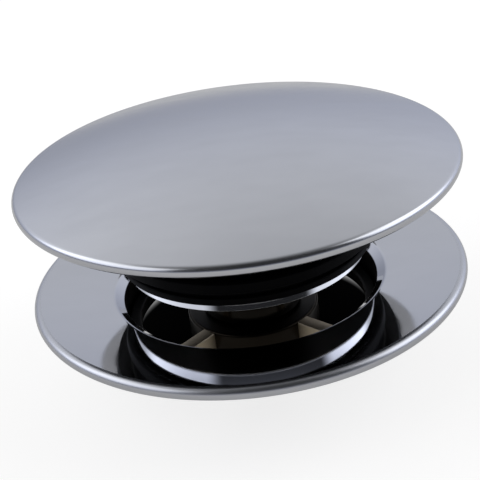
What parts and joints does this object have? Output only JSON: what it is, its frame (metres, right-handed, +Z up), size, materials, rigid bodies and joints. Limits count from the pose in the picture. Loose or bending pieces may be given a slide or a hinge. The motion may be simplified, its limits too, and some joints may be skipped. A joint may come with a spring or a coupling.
{
  "type": "pop-up drain",
  "caption": "Pop-up basin drain top set: a domed cap and seal on a sprung push latch, raised over a dished flange with an open throat.",
  "frame": {"origin": "centre of the lock nut's lower face, the lowest point, on the axis of every turned piece", "axes": "+Z up along the drain's axis from the lock nut to the cap, +X and +Y between the spider's arms"},
  "size_m": [0.064, 0.064, 0.0358],
  "materials": {
    "chrome_plate": "polished chrome plating over brass",
    "chrome_cap": "chrome plating, slightly soft reflections",
    "chrome_plate_dark": "black nickel plating over brass",
    "turned_brass": "fine turned",
    "stainless_steel": "bright, fine turned",
    "black_rubber": "moulded, matte",
    "black_acetal": "moulded, fine satin",
    "white_acetal": "moulded, satin"
  },
  "bodies": {
    "fixed": {"flange": "chrome_plate", "flange_gasket": "black_rubber", "spider": "chrome_plate_dark", "lock_nut": "turned_brass", "nut_washer": "stainless_steel", "barrel": "chrome_plate_dark", "cam_ring": "white_acetal", "guide_cap": "turned_brass", "stem_bush": "white_acetal", "return_spring": "stainless_steel"},
    "lift": {"spring_washer": "stainless_steel"},
    "plug": {"stem": "stainless_steel", "rotor_clip": "stainless_steel", "seal_plate": "chrome_plate", "plate_screw_1": "stainless_steel", "plate_screw_2": "stainless_steel", "plate_screw_3": "stainless_steel", "seal": "black_rubber", "seal_carrier": "black_acetal", "cap_ring": "black_rubber", "cap_boss": "turned_brass", "cap": "chrome_cap"},
    "rotor": {"rotor": "white_acetal"}
  },
  "joints": [
    {"name": "plug_slide", "type": "slide", "parent": "fixed", "child": "lift", "axis": [0, 0, 1], "range_m": [-0.008, 0], "stiffness_N_per_m": 900, "springref_m": 0.0055, "deforming": ["return_spring"]},
    {"name": "plug_turn", "type": "hinge", "parent": "lift", "child": "plug", "pos_m": [0, 0, 0.02], "axis": [0, 0, 1], "continuous": true},
    {"name": "rotor_turn", "type": "hinge", "parent": "lift", "child": "rotor", "pos_m": [0, 0, 0.0169], "axis": [0, 0, 1], "range_deg": [-45, 0]}
  ],
  "couplings": [
    {"joint": "rotor_turn", "follows": "plug_slide", "rad_per_m": 98.17}
  ]
}
